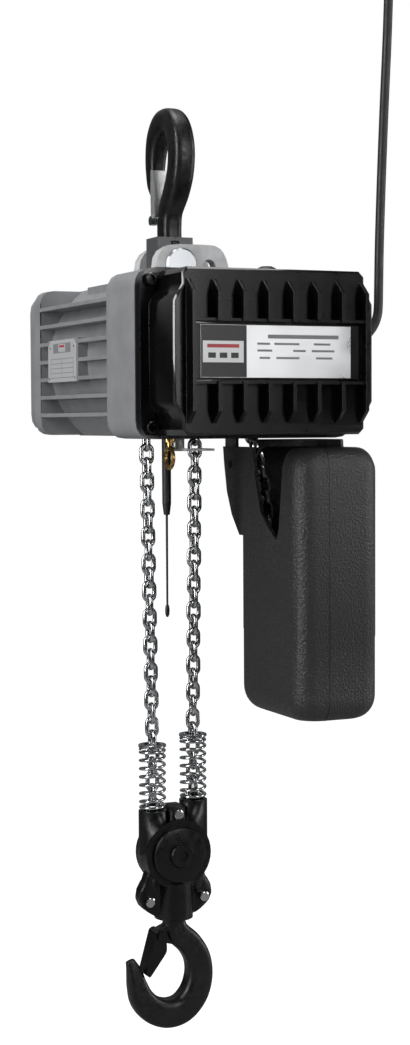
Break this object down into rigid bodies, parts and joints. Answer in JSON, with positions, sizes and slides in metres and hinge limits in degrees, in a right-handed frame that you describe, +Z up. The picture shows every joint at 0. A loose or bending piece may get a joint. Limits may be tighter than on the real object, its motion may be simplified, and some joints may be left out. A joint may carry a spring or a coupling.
{
  "type": "chain hoist",
  "caption": "Electric chain hoist with a swivel top hook, a finned motor body, a doubled load chain, a load block with a latched hook and a chain container.",
  "frame": {"origin": "the inner saddle of the top hook, where the hoist hangs", "axes": "+Z up along the load line, the front cover faces -Y, the motor points along +Y and the chain container hangs at +X"},
  "size_m": [0.3585, 0.4649, 1.2131],
  "materials": {
    "grey_paint": "satin powder coat",
    "dark_paint": "satin",
    "black_paint": "gloss",
    "forged": "black oxide, forged",
    "bright": "bright zinc plate",
    "sheet": "zinc plated sheet",
    "yellow_zinc": "yellow passivated zinc",
    "steel": "machined",
    "copper": "laminations and copper winding",
    "rubber": "matt",
    "bin": "pebbled",
    "label": "brushed",
    "board": "solder mask"
  },
  "bodies": {
    "top_hook": {"top_hook": "forged", "top_latch_pin": "bright"},
    "top_latch": {"top_latch": "sheet"},
    "suspension_block": {"suspension_block_left": "dark_paint", "suspension_block_right": "dark_paint", "suspension_pin": "bright"},
    "hoist_body": {"suspension_bracket": "grey_paint", "center_housing": "grey_paint", "cover_gasket": "rubber", "front_cover": "black_paint", "cover_screw_1": "black_paint", "cover_screw_2": "black_paint", "cover_screw_3": "black_paint", "cover_screw_4": "black_paint", "name_plate": "label", "controller_board": "board", "motor_housing": "grey_paint", "end_cap": "grey_paint", "rating_plate": "label", "stator": "copper", "gearbox_plate": "steel", "wheel_bearing": "steel", "chain_guide": "steel", "chain_anchor_pin": "steel", "top_plug": "rubber", "eye_bolt": "yellow_zinc", "antenna_sleeve": "rubber", "antenna_rod": "rubber", "cable_gland": "rubber", "power_cable": "rubber", "ceiling_fitting": "rubber", "chain_fall_left": "bright", "chain_fall_right": "bright", "slack_chain": "bright", "stored_chain": "bright", "chain_container": "bin", "container_hanger": "dark_paint", "container_bolt": "bright"},
    "motor_rotor": {"rotor_shaft": "steel", "brake_disc": "steel"},
    "drive_wheel": {"load_wheel": "steel", "output_gear": "steel"},
    "limit_plate": {"limit_plate": "yellow_zinc"},
    "load_block": {"block_shell_front": "black_paint", "block_shell_back": "black_paint", "block_cap_front": "black_paint", "block_cap_back": "black_paint", "block_bolt_1": "bright", "block_bolt_2": "bright", "block_bolt_3": "bright", "sheave_axle": "steel", "spring_left": "bright", "spring_right": "bright", "spring_cap_left": "bright", "spring_cap_right": "bright"},
    "idler_sheave": {"idler_sheave": "steel"},
    "bottom_hook": {"bottom_hook": "forged", "bottom_latch_pin": "bright"},
    "bottom_latch": {"bottom_latch": "sheet"}
  },
  "joints": [
    {"name": "top_hook_swivel", "type": "hinge", "parent": "top_hook", "child": "suspension_block", "pos_m": [0, 0, -0.118], "axis": [0, 0, 1], "continuous": true},
    {"name": "top_latch_hinge", "type": "hinge", "parent": "top_hook", "child": "top_latch", "pos_m": [0, 0.0195, -0.0926], "axis": [1, 0, 0], "range_deg": [0, 32], "stiffness_Nm_per_rad": 0.05, "springref_deg": -34.38},
    {"name": "suspension_tilt", "type": "hinge", "parent": "suspension_block", "child": "hoist_body", "pos_m": [0, 0, -0.144], "axis": [0, 1, 0], "range_deg": [-2, 0]},
    {"name": "hoist_lift", "type": "slide", "parent": "hoist_body", "child": "load_block", "axis": [0, 0, 1], "range_m": [0, 0.31], "deforming": ["chain_fall_left", "chain_fall_right"]},
    {"name": "idler_spin", "type": "hinge", "parent": "load_block", "child": "idler_sheave", "pos_m": [0, 0, -0.789], "axis": [0, 1, 0], "continuous": true},
    {"name": "wheel_spin", "type": "hinge", "parent": "hoist_body", "child": "drive_wheel", "pos_m": [0.0585, 0, -0.241], "axis": [0, 1, 0], "continuous": true},
    {"name": "rotor_spin", "type": "hinge", "parent": "hoist_body", "child": "motor_rotor", "pos_m": [0.06, 0.1, -0.241], "axis": [0, 1, 0], "continuous": true},
    {"name": "limit_slide", "type": "slide", "parent": "hoist_body", "child": "limit_plate", "axis": [0, 0, 1], "range_m": [0, 0.006], "stiffness_N_per_m": 200, "springref_m": -0.004},
    {"name": "bottom_hook_swivel", "type": "hinge", "parent": "load_block", "child": "bottom_hook", "pos_m": [0, 0, -0.848], "axis": [0, 0, 1], "continuous": true},
    {"name": "bottom_latch_hinge", "type": "hinge", "parent": "bottom_hook", "child": "bottom_latch", "pos_m": [-0.019, 0, -0.88], "axis": [0, -1, 0], "range_deg": [0, 32], "stiffness_Nm_per_rad": 0.05, "springref_deg": -34.38}
  ],
  "couplings": [
    {"joint": "idler_spin", "follows": "hoist_lift", "rad_per_m": -40.984},
    {"joint": "wheel_spin", "follows": "hoist_lift", "rad_per_m": 68.966},
    {"joint": "rotor_spin", "follows": "hoist_lift", "rad_per_m": 2069}
  ]
}
